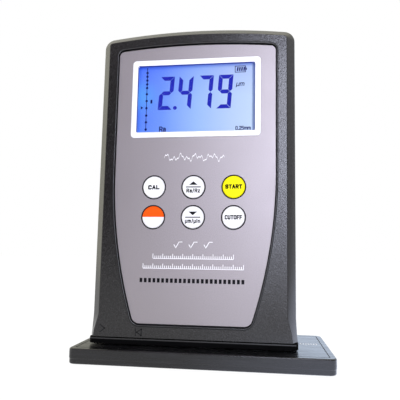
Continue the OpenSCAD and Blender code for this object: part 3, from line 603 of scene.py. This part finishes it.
WALL_SHADE_T, WALL_SHADE_DEPTH, WALL_SHADE_BACK = 0.04, 1.0, 1.38
# Sheet on the frame's inner walls: painted shade and painted reflection of the display's blue
printed("window_wall_shade", border(*WINDOW, WALL_SHADE_T), WALL_SHADE_BACK, WALL_SHADE, thick=WALL_SHADE_DEPTH)


# Keys: dark printed rings on the overlay, legends, arrows and lines on the caps

KEY_NAMES = (("key_cal", "key_up", "key_start"), ("key_power", "key_down", "key_cutoff"))
RING_INNER, RING_OUTER, RING_POINTS = KEY_HOLE_R - 0.25, KEY_HOLE_R + 0.22, 72


def ring(name, x, z):
    bm = bmesh.new()
    loops = []
    for r, y in flat_profile(RING_INNER, RING_OUTER, OVERLAY_Y, PRINT):
        loops.append([in_part(px, y, pz) for px, pz in disc(x, z, r, RING_POINTS)])
    add_tube(bm, loops)
    add_piece(name, bm, INK_DARK)


KEYS = {}
for row, names in zip(KEY_ROWS, KEY_NAMES):
    for column, key in zip(KEY_COLUMNS, names):
        KEYS[key] = (column, row)
        ring(key + "_ring", column, row)

# Legends: words, width, height, rise above the key's middle, and pen
LEGENDS = {
    "key_cal": ("CAL", 4.6, 1.75, -0.05, 0.5),
    "key_start": ("START", 6.7, 1.75, 0.1, 0.46),
    "key_cutoff": ("CUTOFF", 6.8, 1.7, 0.05, 0.4),
    "key_up": ("Ra/Rz", 5.5, 1.6, -1.45, 0.34),
    "key_down": ("µm/µin", 6.1, 1.6, -1.45, 0.34),
}
LEGEND_GAP = 0.7
for key, (words, width, height, rise, pen) in LEGENDS.items():
    x, z = KEYS[key]
    letters = lettered(words, x, z + rise, height, width, pen, LEGEND_GAP)
    printed(key + "_legend", letters, KEY_FACE_Y, INK_DARK, key)

# Arrows: heights of base and tip above the key's middle
ARROWS = {"key_up": (0.85, 2.25), "key_down": (2.25, 0.8)}
ARROW_HALF, LINE_HALF, LINE_RISE = 1.75, 3.0, 0.2
for key, (base, tip) in ARROWS.items():
    x, z = KEYS[key]
    arrow = [(x - ARROW_HALF, z + base), (x + ARROW_HALF, z + base), (x, z + tip)]
    if tip < base:
        arrow.reverse()
    line = bar(x - LINE_HALF, x + LINE_HALF, z - LINE_RISE, z + LINE_RISE)
    printed(key + "_marks", [arrow, line], KEY_FACE_Y, INK_DARK, key)


# Border of the overlay: a rounded bead along the recess, a dark floor in the gap as painted shade, the
# film's edge and a dark line outside the bead as a painted shadow

PANEL_HALF, PANEL_TOP, PANEL_FOOT = 32.25, 118.6, 5.4
PANEL_TOP_R, PANEL_CORNER_R, PANEL_FOOT_R = 310.0, 2.0, 3.2
PANEL_SIDE_Z, PANEL_SIDE_R = 65.5, 193.0
CORNER_STEPS, SIDE_STEPS, TOP_STEPS = 8, 14, 12


def arc(cx, cz, r, start, end, n):
    angles = [start + (end - start) * i / n for i in range(n + 1)]
    return [(cx + r * math.cos(a), cz + r * math.sin(a)) for a in angles]


def panel_outline(grow):
    half, corner = PANEL_HALF + grow, PANEL_CORNER_R + grow
    top_r, foot_r = PANEL_TOP_R + grow, PANEL_FOOT_R + grow
    cx = half - PANEL_SIDE_R
    foot_z = PANEL_FOOT - grow + foot_r
    drop = foot_z - PANEL_SIDE_Z
    foot_x = cx + math.sqrt((PANEL_SIDE_R - foot_r) ** 2 - drop ** 2)
    turn = math.atan2(drop, foot_x - cx)
    cz = PANEL_TOP + grow - top_r
    corner_z = cz + math.sqrt((top_r - corner) ** 2 - (half - corner) ** 2)
    rise = math.atan2(corner_z - cz, half - corner)
    right = arc(foot_x, foot_z, foot_r, -math.pi / 2, turn, CORNER_STEPS)
    right += arc(cx, PANEL_SIDE_Z, PANEL_SIDE_R, turn, 0.0, SIDE_STEPS)[1:]
    right += arc(half - corner, corner_z, corner, 0.0, rise, CORNER_STEPS)
    right += arc(0.0, cz, top_r, rise, math.pi / 2, TOP_STEPS)[1:-1]
    return right + [(-x, z) for x, z in right[::-1]]


def panel_band(name, profile, mat, rounded=False, widen=0.0):
    """Band around the overlay through places of (growth, y), its two sides moved out by widen."""
    bm = bmesh.new()
    loops = []
    for grow, y in profile:
        outline = panel_outline(grow)
        loops.append([in_part(x + math.copysign(widen, x), y, z) for x, z in outline])
    add_tube(bm, loops)
    add_piece(name, bm, mat, rounded=rounded)


BEAD_PROFILE = (
    (1.02, 0.02), (1.0, -0.05), (0.92, -0.09), (0.82, -0.1), (0.72, -0.08), (0.65, -0.02),
    (0.62, 0.1), (0.62, 1.1), (0.9, 1.1))
RECESS_SHADE_PROFILE = flat_profile(0.03, 0.66, 1.19, 0.04)
FILM_PROFILE = flat_profile(-0.3, 0.0, OVERLAY_Y, PRINT)
SHADOW_LINE_PROFILE = flat_profile(1.28, 1.0, 0.02, 0.032)
panel_band("recess_lip", BEAD_PROFILE, BEAD, rounded=True)
# Dark sheet on the gap's floor: painted shade
panel_band("recess_floor_shade", RECESS_SHADE_PROFILE, GAP_SHADE)
panel_band("overlay_edge", FILM_PROFILE, SLOT_MATERIALS["overlay_film"], widen=0.22)
# Dark strip on the face outside the bead: painted shadow
panel_band("recess_shadow_line", SHADOW_LINE_PROFILE, GAP_SHADE)


# Overlay print: a roughness trace, three texture signs, two graduated rules and a row of dark blocks

TRACE_X, TRACE_Z, TRACE_PEN, TRACE_POINTS = 12.2, 71.3, 0.42, 73
SIGN_PEN = 0.3
SIGN_COLUMNS = (-6.0, 0.0, 6.0)
SIGN_LINES = ((-1.3, 36.2, -0.6, 35.0), (-0.6, 35.0, 0.7, 37.3), (0.7, 37.3, 1.9, 37.3))
RULE_PEN, RULE_TALL, RULE_SHORT = 0.26, 2.0, 0.62
BLOCKS, BLOCK_START, BLOCK_PITCH, BLOCK_W = 24, -20.8, 1.75, 1.1
BLOCK_LOW, BLOCK_HIGH = 21.3, 23.0


def trace_height(i):
    return 1.5 * math.sin(0.55 * i) * math.sin(0.21 * i + 0.6) + 0.5 * math.sin(1.7 * i)


def graduated(x0, x1, z, count):
    marks = [bar(x0, x1, z, z + RULE_PEN)]
    for i in range(count + 1):
        x = x0 + (x1 - x0) * i / count
        rise = RULE_TALL if i % 5 == 0 else RULE_TALL * RULE_SHORT
        marks.append(bar(x - RULE_PEN / 2, x + RULE_PEN / 2, z + RULE_PEN, z + rise))
    return marks


trace_step = 2 * TRACE_X / (TRACE_POINTS - 1)
upper = [(-TRACE_X + trace_step * i, TRACE_Z + trace_height(i) + TRACE_PEN / 2) for i in range(TRACE_POINTS)]
lower = [(x, z - TRACE_PEN) for x, z in upper]
trace = [[lower[i], lower[i + 1], upper[i + 1], upper[i]] for i in range(TRACE_POINTS - 1)]
printed("overlay_trace", trace, OVERLAY_Y, INK_WHITE)

texture_signs = []
for x in SIGN_COLUMNS:
    for x0, z0, x1, z1 in SIGN_LINES:
        texture_signs.append(stroke(x + x0, z0, x + x1, z1, SIGN_PEN))
printed("overlay_texture_signs", texture_signs, OVERLAY_Y, INK_WHITE)

rules = graduated(-15.7, 16.3, 30.6, 40) + graduated(-19.6, 20.2, 26.7, 50)
printed("overlay_rules", rules, OVERLAY_Y, INK_WHITE)

blocks = []
for i in range(BLOCKS):
    x0 = BLOCK_START + BLOCK_PITCH * i
    blocks.append(bar(x0, x0 + BLOCK_W, BLOCK_LOW, BLOCK_HIGH))
printed("overlay_steps", blocks, OVERLAY_Y, INK_DARK)


# Plate: white register ticks by its right end and a mark by the front left foot, in the part frame

TICKS, TICK_START, TICK_PITCH, TICK_W = 7, 38.9, 1.05, 0.45
TICK_LOW, TICK_HIGH = 1.2, 3.2
FOOT_MARK = bar(-40.4, -38.9, -9.9, -8.6)
MARK_T = 0.04

plate_marks = []
for i in range(TICKS):
    x0 = TICK_START + TICK_PITCH * i
    plate_marks.append(bar(x0, x0 + TICK_W, TICK_LOW, TICK_HIGH))
bm = bmesh.new()
for outline in plate_marks + [FOOT_MARK]:
    low_face = [Vector((x, y, PLATE_TOP)) * MM for x, y in outline]
    high_face = [Vector((x, y, PLATE_TOP + MARK_T)) * MM for x, y in outline]
    add_prism(bm, low_face, high_face)
add_piece("plate_ticks", bm, INK_WHITE)


# Foot of the housing: a fine strip above the cover, lighter than the cover, as a painted highlight of its
# lit edge; and two moulded signs, drawn darker than the housing as painted shade of their relief

FOOT_EDGE_HIGHLIGHT = bar(-40.0, 40.0, -0.9, -0.45)
FOOT_SIGNS = (
    (-21.6, 0.8, -21.6, 3.3), (-21.1, 2.05, -19.3, 3.3), (-21.1, 2.05, -19.3, 0.8), (-19.3, 0.8, -19.3, 3.3),
    (-36.0, 4.6, -34.2, 3.2), (-34.2, 3.2, -36.0, 1.8))
FOOT_PEN = 0.4
# Painted highlight: a strip lighter than the cover along its top edge
printed("foot_edge_highlight", [FOOT_EDGE_HIGHLIGHT], FACE_Y, EDGE_HIGHLIGHT, thick=0.06)
signs = [stroke(*line, FOOT_PEN) for line in FOOT_SIGNS]
# Signs drawn darker than the housing: painted shade of their moulded relief
printed("foot_signs", signs, FACE_Y, SIGN_SHADE, thick=0.05)


# Camera, fitted to the photograph

CAMERA_AT = Vector((22.8913, -162.8229, 41.6618)) * MM
RIGHT = Vector((0.99389745, 0.10938788, 0.01421771))
DOWN = Vector((0.00331134, 0.09924601, -0.99505742))
FORWARD = Vector((-0.11025827, 0.98903211, 0.09827813))
FOCAL_PX, PICTURE_PX = 384.891, 400.0
lens = bpy.data.cameras.new("camera")
lens.sensor_width = 36.0
lens.lens = FOCAL_PX / PICTURE_PX * lens.sensor_width
lens.shift_x, lens.shift_y = -0.04625, 0.042078
lens.clip_start = 0.01
camera = bpy.data.objects.new("camera", lens)
turn = Matrix((RIGHT, -DOWN, -FORWARD)).transposed().to_4x4()
camera.matrix_world = Matrix.Translation(CAMERA_AT) @ turn
scene.collection.objects.link(camera)
scene.camera = camera


# Light: a main lamp up and to the right, a low one under it and a weak one from the left

COOL, WARM = (0.84, 0.87, 1.05), (1.0, 0.88, 0.92)


def add_lamp(name, place, target, size, watts, colour):
    light = bpy.data.lights.new(name, "AREA")
    light.shape = "RECTANGLE"
    light.size, light.size_y = size
    light.energy = watts
    light.color = colour
    lamp = bpy.data.objects.new(name, light)
    lamp.location = place
    lamp.rotation_euler = (Vector(target) - Vector(place)).to_track_quat("-Z", "Y").to_euler()
    scene.collection.objects.link(lamp)


add_lamp("key_lamp", (0.11, -0.62, 0.29), (0.0, 0.0, 0.08), (0.15, 0.34), 2.75, COOL)
add_lamp("low_lamp", (0.09, -0.6, 0.05), (0.0, 0.0, 0.03), (0.3, 0.09), 0.48, COOL)
add_lamp("left_lamp", (-0.55, -0.35, 0.35), (0.0, 0.0, 0.07), (0.4, 0.4), 0.3, WARM)


# Surround: a pale backdrop behind the part, a pale ceiling and a dim room in front

BACKDROP = (
    (0.0, (0.8, 0.79, 0.67)), (0.12, (0.75, 0.74, 0.63)), (0.26, (0.36, 0.355, 0.3)),
    (0.32, (0.36, 0.355, 0.31)), (0.48, (0.5, 0.53, 0.57)), (0.56, (0.88, 1.02, 1.25)),
    (0.75, (0.6, 0.65, 0.74)), (1.0, (0.5, 0.5, 0.52)))
OVERHEAD = (0.55, 0.54, 0.47, 1.0)
FRONT_CEILING = (0.36, 0.335, 0.35, 1.0)
FRONT_WALL = (0.05, 0.044, 0.045, 1.0)
SEEN_GREY = (0.5, 0.5, 0.5, 1.0)
world = bpy.data.worlds.new("surround")
world.use_nodes = True
scene.world = world
nodes, links = world.node_tree.nodes, world.node_tree.links
split = nodes.new("ShaderNodeSeparateXYZ")
links.new(nodes.new("ShaderNodeTexCoord").outputs["Generated"], split.inputs["Vector"])


def direction(axis, low, high):
    return span(nodes, links, split.outputs[axis], low, high)


backdrop = ramp(nodes, links, direction("X", -1.0, 1.0), BACKDROP)
behind = mixed(nodes, links, direction("Z", 0.45, 0.75), backdrop, OVERHEAD)
before = mixed(nodes, links, direction("Z", 0.38, 0.7), FRONT_WALL, FRONT_CEILING)
room = mixed(nodes, links, direction("Y", -0.45, 0.15), before, behind)
path = nodes.new("ShaderNodeLightPath").outputs
seen = calculated(nodes, links, "MAXIMUM", path["Is Camera Ray"], path["Is Transmission Ray"])
links.new(mixed(nodes, links, seen, room, SEEN_GREY), nodes["Background"].inputs["Color"])
nodes["Background"].inputs["Strength"].default_value = 2.0


# Floor: white to the camera, with the part's soft shadow and a pool of light at the plate's right front

FLOOR_REACH = 3.0
FLOOR_GREY = (0.85, 0.85, 0.85, 1.0)
FLOOR_GLOW, GLOW_SHARE = 1.08, 0.85
POOL_LIGHT = (2.15, 2.3, 2.8, 1.0)


def floor_material():
    mat, nodes, links, shader = new_material("floor")
    shader.inputs["Base Color"].default_value = FLOOR_GREY
    shader.inputs["Roughness"].default_value = 0.9
    path = nodes.new("ShaderNodeLightPath").outputs
    share = calculated(nodes, links, "MAXIMUM", path["Is Camera Ray"], path["Is Glossy Ray"])
    share = calculated(nodes, links, "MULTIPLY", share, GLOW_SHARE)
    rightward = object_axis(nodes, links, "X", -8.0, 46.0)
    near = object_axis(nodes, links, "Y", -66.0, -44.0)
    pool = path["Is Glossy Ray"]
    for factor in (rightward, near):
        pool = calculated(nodes, links, "MULTIPLY", pool, factor)
    glow = nodes.new("ShaderNodeEmission")
    glow.inputs["Strength"].default_value = FLOOR_GLOW
    links.new(mixed(nodes, links, pool, WHITE, POOL_LIGHT), glow.inputs["Color"])
    mix = nodes.new("ShaderNodeMixShader")
    links.new(share, mix.inputs["Fac"])
    links.new(shader.outputs["BSDF"], mix.inputs[1])
    links.new(glow.outputs["Emission"], mix.inputs[2])
    links.new(mix.outputs["Shader"], nodes["Material Output"].inputs["Surface"])
    return mat


floor_corners = [(x * FLOOR_REACH, y * FLOOR_REACH, 0) for x, y in ((-1, -1), (1, -1), (1, 1), (-1, 1))]
floor_mesh = bpy.data.meshes.new("floor")
floor_mesh.from_pydata(floor_corners, [], [(0, 1, 2, 3)])
floor_mesh.materials.append(floor_material())
floor = bpy.data.objects.new("floor", floor_mesh)
scene.collection.objects.link(floor)
